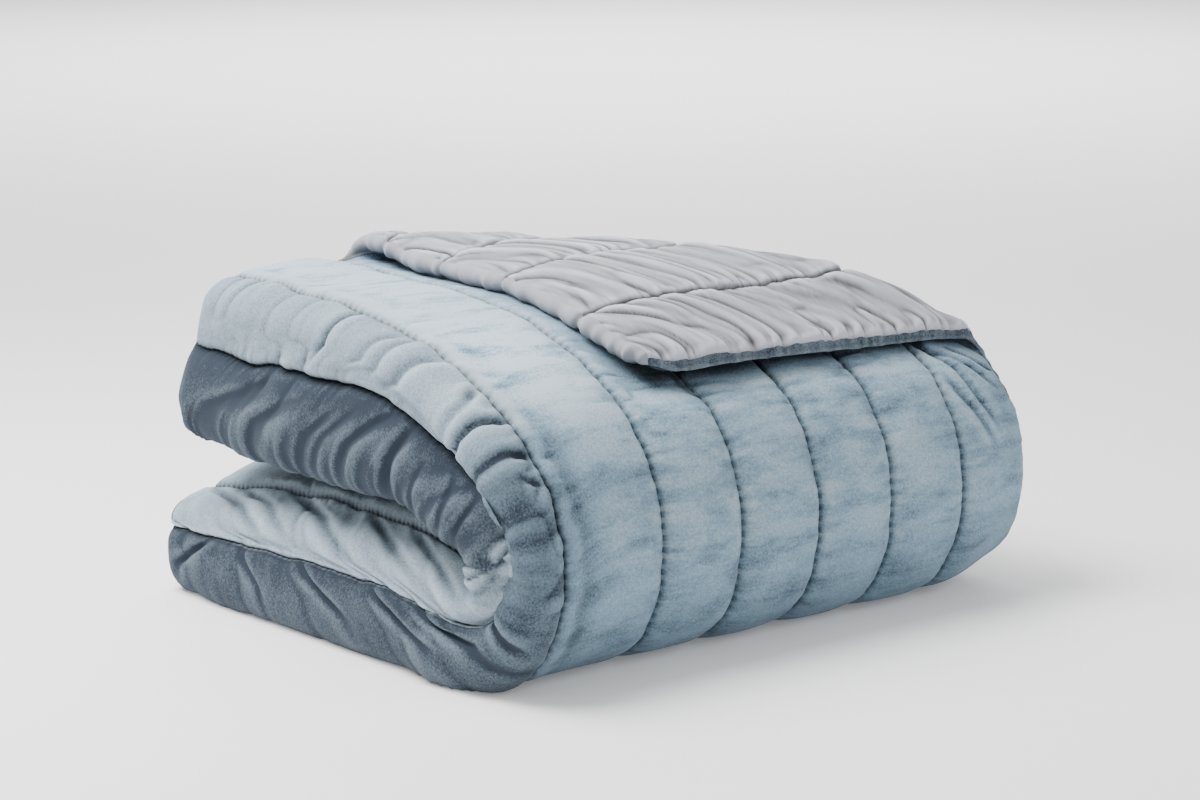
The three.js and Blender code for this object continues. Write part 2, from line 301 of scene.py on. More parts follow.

# How light the velvet looks, from 0 where its nap is brushed down to 1 where it is brushed up. The
# values carry painted light and shade as well as the nap: lighter where light falls from above, darker
# where shade falls.
NAP_TOP = 1.0
NAP_FRONT = 0.7
NAP_BELOW = 0.38
NAP_END = 0.57  # upper part of the left end
NAP_END_NOSE = 0.22
NAP_END_BELOW = 0.09
NAP_INNER = 0.04  # upper inner part of the left end
NAP_INNER_BELOW = 0.66
# painted shade in the cavity under the turned corner
NAP_SHADE_UNDER_CORNER = 0.05
NAP_EDGE = 0.27

# The least and the most that a place counts as lying in a crease, which paints shade into it, and a
# painted highlight where it is negative, on a crest.
REVERSE_HOLLOW = (-1.5, 1.4)
END_HOLLOW = (-1.5, 3.0)
RIB_HOLLOW = (-0.5, 1.8)
HOLLOW_REACH = 4  # the points on each side that a place is compared with
CREASE_WIDE = 5.0  # how far a quilting line's shade reaches

# The larger creases, as valleys from one place of the flat cloth to another: across from the hinge of
# the left fold and along from the nose, with the depth and half the width. One side is the steeper.
STEEP = 1.9
DrawnCrease = namedtuple("DrawnCrease", "s run to_s to_run deep wide")
DRAWN_CREASES = (
    DrawnCrease(-92, -292, -20, -314, 7, 9),  # on the upper end, from its quilting line
    DrawnCrease(-88, -224, -35, -256, 3, 10),
    DrawnCrease(-95, -202, -30, -222, 4, 12),
    DrawnCrease(-92, -164, -15, -200, 5, 13),
    DrawnCrease(-95, -115, -55, -98, 5, 8),
    DrawnCrease(-98, -78, -46, -86, 10, 7),  # on the shoulder
    DrawnCrease(-98, -46, -55, -52, 7, 8),
    DrawnCrease(-98, -20, -68, -30, 4, 6),
    DrawnCrease(10, 100, -72, 128, 12, 8),  # below the nose
    DrawnCrease(45, -492, 9, -361, 4, 12),  # on the upper inner end, from its lower edge
    DrawnCrease(51, -402, 19, -307, 3.5, 10),
    DrawnCrease(57, -314, 22, -257, 4, 7),
    DrawnCrease(55, -288, 16, -221, 3, 6),
    DrawnCrease(52, -242, 3, -168, 5, 8),
    DrawnCrease(54, -180, 3, -145, 8, 9),
    DrawnCrease(56, -137, 29, -126, 3, 5),
    DrawnCrease(50, -84, 19, -92, 3, 7),
    DrawnCrease(50, -54, 25, -58, 3.5, 5),
    DrawnCrease(95, 690, 45, 515, 6, 9),  # on the lower inner end, from its quilting line
    DrawnCrease(97, 630, 48, 455, 5, 8),
    DrawnCrease(98, 510, 45, 310, 7, 10),
    DrawnCrease(98, 330, 50, 180, 7, 10),
    DrawnCrease(98, 230, 60, 135, 6, 9),
    DrawnCrease(-11, 640, -50, 697, 8, 8),  # on the lowest band
    DrawnCrease(-12, 560, -53, 519, 5, 9),
    DrawnCrease(-9, 436, -49, 360, 7, 9),
    DrawnCrease(-14, 285, -59, 210, 7, 9),
    DrawnCrease(-6, 212, -66, 156, 11, 9),
    DrawnCrease(-663, -90, -708, 13, 11, 9),  # below the end of the turned corner
    DrawnCrease(-679, -75, -733, -26, 9, 7),
    DrawnCrease(-668, -25, -699, 30, 6, 9),
    DrawnCrease(-705, -75, -751, -45, 6, 6),
)


class Fold:
    """Where each place of the flat cloth lies: s runs across the channels, from the hinge of the
    left fold, to the top layer when negative, and run along them, from the back edge of the top."""

    def __init__(self, sizes):
        self.pitch = sizes.pitch / MM
        self.crown = sizes.crown / MM
        self.stitched = sizes.stitched / MM
        self.seam = sizes.seam / MM
        self.pucker = sizes.pucker / MM
        self.end_pucker = sizes.end_pucker / MM
        self.lines = np.arange(-CHANNELS_TOP, CHANNELS_UNDER + 1) * self.pitch
        self.lines[:CHANNELS_TOP - 1] -= WIDER
        self.lines[0] -= HEM
        self.side_run = -self.lines[0]
        self.under_end = self.lines[-1]
        self.upright = STACK / 2 - LEFT_RADIUS
        self.left_run = self.upright + math.pi / 2 * LEFT_RADIUS
        self.left_x = HINGE_X + LEFT_RADIUS
        self.side_x = self.left_x + self.side_run - self.left_run
        self.under_run = self.left_run + RIGHT_FOLD_X - self.left_x
        self.right_radius = STACK / 4
        self.crease = CREASE_CELLS * self.pitch / 4
        self.crease_x = self.side_x - self.crease
        self.roll = math.pi * CREASE_RADIUS
        self.corner_shift = self.crease - self.roll / math.sqrt(2)
        self.tabulate()

    def tabulate(self):
        """The table's curves at even steps of the run along the outer layer."""
        table = np.array(FOLD_ROWS, float)
        last = len(table) - 1
        at = np.linspace(0, last, last * 200 + 1)
        i = np.minimum(at.astype(int), last - 1)
        f = (at - i)[:, None]
        here, there = table[i], table[i + 1]
        slope_in = (there - table[np.maximum(i - 1, 0)]) / 2
        slope_out = (table[np.minimum(i + 2, last)] - here) / 2
        ends = (2 * f**3 - 3 * f**2 + 1) * here + (3 * f**2 - 2 * f**3) * there
        curve = ends + (f**3 - 2 * f**2 + f) * slope_in + (f**3 - f**2) * slope_out
        steps = np.linalg.norm(np.diff(curve[:, :2], axis=0), axis=1)
        runs = np.concatenate([[0], np.cumsum(steps)])
        self.long = runs[-1]
        self.nose_run = np.interp(NOSE_ROW, at, runs)
        self.heel_run = np.interp(HEEL_ROW, at, runs)
        self.runs = np.arange(0, self.long, FINE)
        columns = [np.interp(self.runs, runs, curve[:, c]) for c in range(curve.shape[1])]
        before = np.arange(-BEFORE, 0, FINE)
        self.runs = np.concatenate([before, self.runs])
        self.columns = [
            np.concatenate([c[0] + before * (c[8] - c[0]) / (8 * FINE), c]) for c in columns]

    def column(self, name, run):
        return np.interp(run, self.runs, self.columns[FoldRow._fields.index(name)])

    def top_share(self, x):
        """How far the top layer has sunk, as a share of the way to the inner layer."""
        return SIDE_TUCK * smooth((x - self.side_x + self.pitch) / self.pitch)

    def across(self, s):
        """The section of the fold in thirds: x, and the share from the outer to the inner layer."""
        length = np.abs(s)
        turn = np.clip((length - self.upright) / LEFT_RADIUS, 0, math.pi / 2)
        rise = np.minimum(length, self.upright) + LEFT_RADIUS * np.sin(turn)
        x = HINGE_X + LEFT_RADIUS * (1 - np.cos(turn)) + np.maximum(0, length - self.left_run)
        share = 0.5 + np.sign(s) * rise / STACK
        share = np.where(s < -self.left_run, self.top_share(x), share)
        past = np.maximum(0, s - self.under_run)
        bend = np.minimum(past / self.right_radius, math.pi)
        back = np.maximum(0, past - math.pi * self.right_radius)
        turned_x = RIGHT_FOLD_X + self.right_radius * np.sin(bend) - back
        turned_share = 1 - self.right_radius * (1 - np.cos(bend)) / STACK
        return np.where(past > 0, turned_x, x), np.where(past > 0, turned_share, share)

    def at_left(self, x, end, over):
        """1 near the left end and 0 from a number of channels on, changing over a number of them."""
        return smooth((end * self.pitch - x) / (over * self.pitch))

    def stack_point(self, x, share, run):
        """The middle of the cloth before its corner is turned back."""
        inner_y = self.column("inner_y", run) - self.at_left(x, 1.5, 1) * self.column("forward", run)
        outer_y = self.column("outer_y", run)
        outer_y = outer_y - SKEW * smooth((SKEW_TO_X - x) / SKEW_TO_X) * smooth(1 - run / SKEW_RUN)
        y = lerp(outer_y, inner_y, share)
        z = lerp(self.column("outer_z", run), self.column("inner_z", run), share)
        under = smooth((run - self.nose_run) / self.pitch) * smooth((share - 0.45) / 0.5)
        z = z - SLOPE * under * self.at_left(x, 1.7, 1.3)
        from_eye = np.exp(-((y - EYE_Y) ** 2 + (z - EYE_Z) ** 2) / (2 * EYE_RADIUS**2))
        pulled = from_eye * self.at_left(x, 1.6, 1.4)
        x = x - EYE_OUT * from_eye * self.at_left(x, 2.2, 1) * smooth((share - 0.3) / 0.5)
        return np.stack(np.broadcast_arrays(x, y - EYE_FORWARD * pulled, z - EYE_DOWN * pulled), -1)

    def at_nose(self, run):
        """1 at the front of the nose, and falling away above and below it."""
        return bell((run - self.nose_run - NOSE_FRONT) / NOSE_REACH)

    def to_side(self, s):
        """How far a place is from the nearer sewn side."""
        return np.minimum(s + self.side_run, self.under_end - s)

    def to_end(self, run):
        """How far a place is from the nearer sewn end of the channels."""
        return np.minimum(run, self.long - run)

    def fold_share(self, s, share, run):
        """The share between the layers, bent on the left end to put its line where the table has it."""
        bent = share * (1 - 2 * (1 - 2 * self.column("hinge", run)) * (1 - share))
        return np.where(np.abs(s) > self.left_run, share, bent)

    def on_top(self, s, run):
        """Whether a place is on the top layer."""
        return (s < -self.pitch) & (run < self.nose_run)

    def past_crease(self, s, run):
        """How far a place is past the crease of the turned corner."""
        x, _ = self.across(s)
        return np.where(self.on_top(s, run), (x - self.crease_x - run) / math.sqrt(2), -self.crease)

    def eased(self, s, run):
        """The flat cloth with its corners drawn in to a round."""
        pull = CORNER_PULL * smooth(1 - np.hypot(self.to_side(s), self.to_end(run)) / CORNER_REACH)
        return s + pull * np.where(s < 0, 1, -1), run + pull * np.where(run < self.nose_run, 1, -1)

    def middle(self, s, run):
        """The middle of the cloth, with its corner turned back."""
        s, run = self.eased(s, run)
        x, share = self.across(s)
        x = x + NOSE_DRAWN * self.at_nose(run) * smooth(1.2 - np.abs(s) / self.left_run)
        past = self.past_crease(s, run)
        turn = np.clip(past / CREASE_RADIUS, 0, math.pi)
        back = np.maximum(0, past - self.roll)
        shift = (CREASE_RADIUS * np.sin(turn) - back - past) / math.sqrt(2)
        lift = CREASE_RADIUS * (1 - np.cos(turn))
        # Its free edge hangs down away from the side, and its roll sinks at the side.
        inside = smooth((s + self.side_run) / 120)
        lift = lift - EDGE_DROOP * smooth(1 - run / 70) * smooth(back / 60) * inside
        lift = lift - ROLL_DROOP * turn / math.pi * (1 - inside) * smooth(1 - back / 260)
        flat_x = x + shift
        flat_run = run - shift
        under = self.top_share(flat_x)
        ahead = self.stack_point(flat_x, under, flat_run + LONG_STEP)
        along = ahead - self.stack_point(flat_x, under, flat_run - LONG_STEP)
        up = unit(np.stack([np.zeros_like(flat_x), along[..., 2], -along[..., 1]], -1))
        turned = self.stack_point(flat_x, under, flat_run) + up * lift[..., None]
        flat = self.stack_point(x, self.fold_share(s, share, run), run)
        return np.where((past > 0)[..., None], turned, flat)

    def slopes(self, s, run):
        """The directions across and along the cloth, and the way the velvet faces."""
        across = unit(self.middle(s - SIDE_STEP, run) - self.middle(s + SIDE_STEP, run))
        along = unit(self.middle(s, run + LONG_STEP) - self.middle(s, run - LONG_STEP))
        return across, along, unit(np.cross(along, across))

    def line(self, number):
        """Where a quilting line is, counted from the hinge of the left fold."""
        return self.lines[number + CHANNELS_TOP]

    def phase(self, s):
        """Which channel a place is in, the share of the way across it, and the channel's width."""
        index = np.clip(np.searchsorted(self.lines, s, "right") - 1, 0, len(self.lines) - 2)
        wide = self.lines[index + 1] - self.lines[index]
        return index - CHANNELS_TOP, (s - self.lines[index]) / wide, wide

    def apart(self, s):
        """How far a place is from the nearest quilting line."""
        _, inside, wide = self.phase(s)
        return np.minimum(inside, 1 - inside) * wide

    def pressed(self, s, run):
        """The share of the loft that is left on and under the turned corner."""
        x, _ = self.across(s)
        past = self.past_crease(s, run)
        beside = smooth((x - self.side_x + self.corner_shift) / PRESS_MARGIN + 1)
        infront = smooth((self.corner_shift - run) / PRESS_MARGIN + 1)
        near = np.maximum(beside * infront, smooth(1 + past / PRESS_MARGIN))
        under = np.where(self.on_top(s, run), lerp(1, PRESSED_LOFT, near), 1)
        turned = lerp(PRESSED_LOFT, FLAP_LOFT, smooth(past / self.roll))
        return np.where(past > 0, turned, under)

    def half_loft(self, s, run, side):
        """Half of the thickness, on the velvet side at 1 and the reverse side at -1."""
        _, inside, _ = self.phase(s)
        from_line = 1 - np.abs(2 * inside - 1)
        puff = lerp(rounded(from_line), rounded(2 * from_line), 0.6)
        _, share = self.across(s)
        inner = lerp(1, self.column("loft", run), smooth(share))
        on_side = lerp(1, SIDE_LOFT, smooth((self.line(1 - CHANNELS_TOP) - s) / self.pitch))
        # The folded end is fuller or flatter above, on and below the nose.
        outward = smooth(0.5 - s / 30)
        rolled = lerp(FOLD_LOFT, UPPER_LOFT, outward * smooth((self.nose_run - run) / 140))
        rolled = lerp(rolled, NOSE_LOFT, self.at_nose(run) * outward)
        rolled = lerp(rolled, LOWER_LOFT, smooth((run - self.nose_run) / 140) * smooth(0.5 + s / 30))
        on_fold = self.at_left(np.abs(s), 1.1, 0.3)
        fold = lerp(1, rolled if side > 0 else FOLD_INSIDE, on_fold)
        kept = inner * on_side * fold * self.pressed(s, run)
        at_line = smooth(1 - np.abs(s - self.line(-1)) / (0.5 * self.pitch))
        at_line = at_line * smooth((self.heel_run - run) / 90)
        full = lerp(lerp(self.stitched, END_STITCHED, at_line), self.crown, puff) * kept
        # It gets thin at the sewn sides and ends, and thinnest at the corners.
        to_side = self.to_side(s)
        full = np.maximum(full, self.seam * smooth(1 - to_side / 40))
        ends = rounded(self.to_end(run) / EDGE_TAPER)
        to_corner = np.hypot(to_side, self.to_end(run))
        edge = lerp(self.seam, END_ROLL, puff) * lerp(0.45, 1, smooth(to_corner / 30))
        hem = lerp(HEM_THIN, 1, smooth(to_side / 14))
        return lerp(edge, full, ends) * hem * lerp(0.3, 1, smooth(to_corner / 24))

    # Wrinkles, in millimetres. The number before a noise is its height, those that divide places across
    # and along the cloth are the lengths of its waves, and the last one is its seed. The number with a
    # distance is how far something reaches.

    def end_wrinkles(self, s, run, inside, apart):
        """Buckles on the folded end, dragged down from the lines and crumpled where the cloth turns."""
        lower = smooth((run - self.nose_run) / 140 + 0.5)
        inner = smooth(s / 30 + 0.5)
        lean = (1 - 2 * lower) * lerp(0.25, 0.95, smooth(s / 60))
        at = run + lean * s
        at = at + 12 * noise(at / 55, s / 70, 60)
        outer_height = lerp(1.15, 0.6, lower) + 0.25 * self.at_nose(run)
        height = self.end_pucker * lerp(outer_height, lerp(0.65, 1.2, lower), inner)
        uneven = 0.5 + 0.5 * noise(at / 95, s / 80, 65)
        height = height * smooth(run / 160 + 0.2) * lerp(0.45, 1.35, uneven)
        drag = billow(at / 46, s / 110, 51) + 0.3 * billow(at / 27, s / 70, 64)
        drag = drag * lerp(0.35, 1, fading(apart, 34))
        nicks = 0.5 * billow(at / 14, s / 40, 52) * fading(apart, 11)
        nicks = nicks + 0.9 * self.at_nose(run) * billow(run / 17, s / 60, 67) * fading(apart, 22)
        dents = 3.5 * noise(s / 60, at / 75, 53) * np.sin(math.pi * inside)
        bites = 5.0 * billow(at / 13, s / 60, 75) * bell((s - 62) / 15)
        bites = bites * smooth((self.nose_run - 30 - run) / 60)
        return height * (drag + nicks) + dents + self.crumple(s, run) - bites

    def crumple(self, s, run):
        """Creases that spread from the middle of the fold, where the inner layer is pinched."""
        over, along = s - CRUMPLE_S, run - self.nose_run - CRUMPLE_RUN
        far = np.hypot(over, along)
        turn = np.arctan2(along, over) * 5 / math.pi
        return 10.0 * billow(turn + far / 50, far / 45, 61) * bell(far / 55) * smooth(far / 10)

    def rib_wrinkles(self, s, run, inside, apart):
        """Small bites beside the quilting lines and soft dents in the channels."""
        soft = 0.6 * self.pucker * noise(run / 30, s / 55, 54) * lerp(0.2, 1, fading(apart, 20))
        bites = self.pucker * billow(run / 11, s / 34, 55) * fading(apart, 10)
        dents = 2.0 * noise(s / 90, run / 120, 56) * np.sin(math.pi * inside)
        from_end = np.abs(s - self.line(-1)) / 40 + smooth((run - self.nose_run) / 120 + 1.5) * 9
        crossing = 4.0 * billow(run / 36, s / 90, 74) * np.exp(-from_end)
        pleats = 3.0 * self.pleats(s, run, apart)
        return soft + bites + dents + crossing - pleats

    def pleats(self, s, run, apart):
        """Thin creases across the quilting lines where the cloth starts to turn down in front."""
        at_shoulder = bell((run - self.nose_run + 85) / 75) * (s < 0)
        thin = np.clip(1 - 4 * np.abs(noise(run / 19 + s / 400, s / 70, 77)), 0, 1)
        return thin * at_shoulder * fading(apart, 26)

    def drawn(self, s, run):
        """The depth of the larger creases, with a low ridge on each side."""
        deep = np.zeros_like(s)
        for crease in DRAWN_CREASES:
            over, along = s - crease.s, run - self.nose_run - crease.run
            across, down = crease.to_s - crease.s, crease.to_run - crease.run
            long = math.hypot(across, down)
            share = (over * across + along * down) / long**2
            off = (over * down - along * across) / (long * crease.wide)
            off = np.where(off > 0, off, STEEP * off)
            shown = smooth((share + 0.3) / 0.4) * smooth((1.2 - share) / 0.5)
            shown = shown * lerp(1.15, 0.4, np.clip(share, 0, 1))
            deep = deep + crease.deep * (1 - 0.7 * off**2) * bell(off) * shown
        return deep

    def corner_wrinkles(self, s, run, apart):
        """Darts from the lower line of each channel and folds from the upper one, with soft folds
        between them and fine gathers at the hem."""
        channel, inside, wide = self.phase(s)
        rise = inside * wide
        at = run + 0.5 * rise**2 / self.pitch + 8 * noise(run / 50, s / 60, 62)
        dart_long = lerp(14, 62, (0.5 + 0.5 * noise(run / 24, channel * 7.3, 66)) ** 1.5)
        darts = 8.0 * billow(at / 13, rise / 130 + channel * 3.1, 57) * fading(rise, dart_long)
        upper = 6.5 * billow(at / 18, rise / 110 + channel * 5.3, 68) * fading(wide - rise, 38)
        soft = 4.5 * billow(at / 34, s / 95, 69)
        gathers = 3.4 * billow(run / 7, s / 40, 58) * fading(apart, 9)
        return darts + upper + soft + gathers

    def wrinkles(self, s, run, side):
        """How far the cloth stands out of its smooth shape."""
        _, inside, _ = self.phase(s)
        apart = self.apart(s)
        on_end = self.at_left(np.abs(s), 1.3, 0.35)
        on_ribs = self.rib_wrinkles(s, run, inside, apart)
        total = lerp(on_ribs, self.end_wrinkles(s, run, inside, apart), on_end)
        if side < 0:
            on_corner = smooth(self.past_crease(s, run) / 45)
            total = lerp(total, self.corner_wrinkles(s, run, apart), on_corner)
            kept = lerp(1, 0.3, on_corner * fading(apart, 3)) - (1 - on_corner) * fading(apart, 4)
            return total * kept * smooth(np.minimum(self.to_side(s), self.long - run) / 4.5)
        total = total - self.drawn(s, run)
        to_edge = np.minimum(self.to_end(run), self.to_side(s))
        return total * (1 - fading(apart, 4)) * smooth(to_edge / 10)

    def nap(self, s, run):
        """How light the pile looks, from its nap and from the light and shade painted into it: brushed
        up on the top and on the lower inner end, down on the others, and between the two in front."""
        outer = lerp(self.rib_nap_and_painted_light(s, run), self.end_nap_and_painted_light(s, run), smooth((s + self.pitch) / 6 + 0.5))
        return lerp(outer, self.inner_nap_and_painted_light(s, run), smooth((s + 1.5) / 3 + 0.5))

    def below_nose(self, run):
        """1 below the nose and 0 above it."""
        return smooth((run - self.nose_run) / 60 + 0.5)

    def rib_nap_and_painted_light(self, s, run):
        """On the top and the front, lighter on top and darker lower down, partly from the nap and partly
        as painted light from above: a painted shadow round the turned corner and painted shade in the
        cavity under it, darker beside the nose, painted shade in pleats, and a painted highlight on the
        shoulder."""
        nose = self.nose_run
        # Lighter on top and darker lower down: partly the nap, partly painted light from above.
        nap = lerp(NAP_TOP, NAP_FRONT, smooth((run - 0.58 * nose) / (0.42 * nose)))
        nap = lerp(nap, NAP_BELOW, smooth((run - 1.05 * nose) / (0.3 * nose)))
        x, _ = self.across(s)
        beside = (x - self.side_x + self.corner_shift) / 70
        infront = smooth((self.corner_shift - run) / 30 + 0.5) * self.on_top(s, run)
        # Painted shadow of the turned corner beside it, and painted shade in the cavity under it.
        nap = nap - 0.45 * smooth(beside + 1) * infront
        nap = lerp(nap, NAP_SHADE_UNDER_CORNER, smooth(beside * 3) * infront)
        nap = nap - 0.25 * bell((s + self.pitch) / 45) * self.at_nose(run)
        # Darker where the end of the corner's roll meets the side: partly the nap, partly painted shade.
        nap = nap - 0.25 * np.exp(-((s + self.side_run) ** 2 + (run - self.crease) ** 2) / 80**2)
        # A painted highlight on the shoulder.
        shoulder = bell((run - nose + 150) / 75)
        nap = nap + 0.75 * shoulder * bell((s + 1.35 * self.pitch) / 70)
        # Painted shade in the pleats.
        return nap - 0.3 * self.pleats(s, run, self.apart(s))

    def end_nap_and_painted_light(self, s, run):
        """On the outer half of the folded end: lighter above and darker below, partly from the nap and
        partly as painted light from above, with a painted shadow under the overhang beside the hinge,
        and a painted highlight below the shoulder.
        """
        nose = self.nose_run
        nap = lerp(NAP_END, NAP_END_NOSE, smooth((run - nose + 140) / 130))
        nap = lerp(nap, NAP_END_BELOW, smooth((run - nose - 40) / 140))
        # Painted shadow under the overhang of the band above, beside the hinge.
        nap = nap - 0.16 * self.below_nose(run) * fading(np.abs(s), 16)
        # A painted highlight below the shoulder.
        return nap + 0.3 * bell((run - nose + 115) / 50) * smooth((-s - 35) / 50)

    def inner_nap_and_painted_light(self, s, run):
        """On its inner half: darker on the upper part and lighter on the lower, partly from the nap and
        partly as painted shade, with a painted shadow under the overhang beside the hinge.
        """
        nap = lerp(NAP_INNER, NAP_INNER_BELOW, smooth((run - self.nose_run - 15) / 100 + 0.5))
        # Painted shadow under the overhang of the outer layer, beside the hinge.
        return nap - 0.14 * (1 - self.below_nose(run)) * fading(np.abs(s), 18)

    def combed(self, s, run):
        """How much the pile is brushed across the channels: fully away from the folded end."""
        past_line = np.where(s < 0, (-s - self.pitch) / 10, (s - 2 * self.pitch) / 80)
        return np.maximum(0.7 * self.at_nose(run) * (s < 0), smooth(past_line + 0.5))

    def painted_shade(self, s, run, side):
        """How deep each place of a grid lies in a crease, kept to the range in which it paints shade, or
        a highlight on a crest.
        """
        deep = hollows(self.wrinkles(s, run, side), HOLLOW_REACH)
        if side < 0:
            return np.clip(deep, *REVERSE_HOLLOW)
        return np.where(np.abs(s) > self.pitch, np.clip(deep, *RIB_HOLLOW), np.clip(deep, *END_HOLLOW))

    def wobble(self, s, run):
        """The quilting lines wander a little to the side."""
        channel, inside, _ = self.phase(s)
        line = channel + np.round(inside)
        drift = 1.3 * noise(run / 60, line * 2.9, 41) + 1.2 * noise(run / 14, line * 2.9, 42)
        wide_scallops, scallops = 5.0 * noise(run / 38, 0.5, 43), 4.5 * noise(run / 13, 0.5, 44)
        drift = drift + lerp(wide_scallops, scallops, self.at_nose(run)) * (line == 0)
        near = np.abs(2 * inside - 1) ** 2
        inner = smooth((s + self.side_run) / 60) * smooth((self.under_end - s) / 60)
        hem_line = smooth(1 - np.abs(s - self.line(1 - CHANNELS_TOP)) / self.pitch)
        turned = smooth(self.past_crease(s, run) / 60)
        end_line = smooth(1 - np.abs(s - self.line(-1)) / self.pitch)
        end_line = end_line * smooth((self.heel_run + 80 - run) / 120)
        half_way = 0.5 * self.nose_run
        end_shift = lerp(END_SHIFT, NOSE_SHIFT, smooth((run - half_way) / half_way))
        return s + drift * near * inner - HEM_SHIFT * hem_line * turned + end_shift * end_line

    def surface(self, s, run, side):
        """Places on one side of the cloth, in metres, in the part's frame."""
        s, run = np.broadcast_arrays(np.asarray(s, float), np.asarray(run, float))
        moved = self.wobble(s, run)
        _, _, out = self.slopes(moved, run)
        reach = self.half_loft(s, run, side) + self.wrinkles(s, run, side)
        points = self.middle(moved, run) + out * (side * reach)[..., None]
        return self.place(points)

    def place(self, points):
        """From millimetres in the fold to metres in the part's frame, none below the floor."""
        placed = points - np.array([MIDDLE_X, MIDDLE_Y, 0])
        placed[..., 2] = np.maximum(placed[..., 2], 0)
        return placed * MM

    def channel_steps(self, first, past_last, count):
        """Places across some channels, closer together at the quilting lines."""
        share = np.linspace(0, 1, count + 1)[:-1]
        share = 0.55 * share + 0.45 * (0.5 - 0.5 * np.cos(math.pi * share))
        starts = [self.line(k) for k in range(first, past_last + 1)]
        places = [start + share * (end - start) for start, end in zip(starts, starts[1:])]
        return np.concatenate(places + [starts[-1:]])

    def all_runs(self, step):
        """Places along the whole length, with one on the heel."""
        return np.concatenate([even(0, self.heel_run, step), even(self.heel_run, self.long, step)[1:]])


# Meshes from grids of points, each with the way its faces turn, its places on the flat cloth and the
# values on its points.
Grid = namedtuple("Grid", "points flipped flat values")


def grid_faces(columns, rows, first, flipped):
    """Four-sided faces between the points of a grid, the first of which has a given number."""
    i, j = np.meshgrid(np.arange(columns - 1), np.arange(rows - 1), indexing="ij")
    a = first + i * rows + j
    quads = np.stack([a, a + rows, a + rows + 1, a + 1], -1).reshape(-1, 4)
    return quads[:, ::-1] if flipped else quads


def mesh_object(name, points, faces, material, flat=None, values=None):
    """A smooth-shaded object, with the flat cloth's places as its UV map and values on its points."""
    mesh = bpy.data.meshes.new(name)
    mesh.from_pydata(points.reshape(-1, 3), [], faces.tolist())
    mesh.shade_smooth()
    if flat is not None:
        layer = mesh.uv_layers.new(name="cloth")
        corners = np.zeros(len(mesh.loops), np.int32)
        mesh.loops.foreach_get("vertex_index", corners)
        layer.uv.foreach_set("vector", flat.reshape(-1, 2)[corners].astype(np.float32).ravel())
    for key, numbers in (values or {}).items():
        on_points = mesh.attributes.new(key, "FLOAT", "POINT")
        on_points.data.foreach_set("value", numbers.astype(np.float32).ravel())
    mesh.materials.append(material)
    piece = bpy.data.objects.new(name, mesh)
    bpy.context.scene.collection.objects.link(piece)
    return piece


def hollows(height, reach):
    """How far each place of a grid lies below the mean of the places around it."""
    mean = height
    for axis in (0, 1):
        padded = np.pad(mean, [(reach + 1, reach) if a == axis else (0, 0) for a in (0, 1)], mode="edge")
        sums = np.cumsum(padded, axis)
        count = mean.shape[axis]
        far = np.take(sums, np.arange(2 * reach + 1, 2 * reach + 1 + count), axis)
        near = np.take(sums, np.arange(count), axis)
        mean = (far - near) / (2 * reach + 1)
    return mean - height


def joined(name, grids, material):
    """One object from grids of points."""
    faces = []
    first = 0
    for grid in grids:
        columns, rows = grid.points.shape[:2]
        faces.append(grid_faces(columns, rows, first, grid.flipped))
        first += columns * rows
    points = np.concatenate([grid.points.reshape(-1, 3) for grid in grids])
    flat = np.concatenate([grid.flat.reshape(-1, 2) for grid in grids]) * MM
    keys = grids[0].values
    values = {key: np.concatenate([grid.values[key].ravel() for grid in grids]) for key in keys}
    return mesh_object(name, points, np.concatenate(faces), material, flat, values)


def cloth_piece(fold, name, blocks, side, material):
    """One piece of cloth from grids of places across and along the channels."""
    grids = []
    for across, along in blocks:
        s, run = np.meshgrid(across, along, indexing="ij")
        # The nap value carries painted light and shade as well as the nap, and the crease depth paints
        # shade in creases and light on crests.
        values = {
            "crease": fading(fold.apart(s), CREASE_WIDE),
            "nap": fold.nap(s, run),
            "painted_shade": fold.painted_shade(s, run, side),
            "combed": fold.combed(s, run),
        }
        grids.append(Grid(fold.surface(s, run, side), side > 0, np.stack([s, run], -1), values))
    return joined(name, grids, material)


def even(start, stop, step):
    """Places from start to stop, about a step apart."""
    return np.linspace(start, stop, max(2, round((stop - start) / step) + 1))


def settle(piece, nodes):
    """Ties a padded piece to the frame."""
    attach(piece, BODY)
    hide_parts(*nodes)


# Materials.


class Socket:
    """An output socket in a node tree, with arithmetic that adds Math nodes."""

    def __init__(self, shader, socket):
        self.shader = shader
        self.socket = socket

    def math(self, operation, *values):
        return self.shader.node("ShaderNodeMath", {"operation": operation}, *values)

    def __add__(self, other):
        return self.math("ADD", self, other)

    def __radd__(self, other):
        return self.math("ADD", other, self)

    def __sub__(self, other):
        return self.math("SUBTRACT", self, other)

    def __rsub__(self, other):
        return self.math("SUBTRACT", other, self)

    def __mul__(self, other):
        return self.math("MULTIPLY", self, other)

    def __rmul__(self, other):
        return self.math("MULTIPLY", other, self)

    def __truediv__(self, other):
        return self.math("DIVIDE", self, other)

    def __pow__(self, other):
        return self.math("POWER", self, other)

    def clamp(self):
        """Kept from 0 to 1."""
        return self.shader.node("ShaderNodeClamp", {}, self)


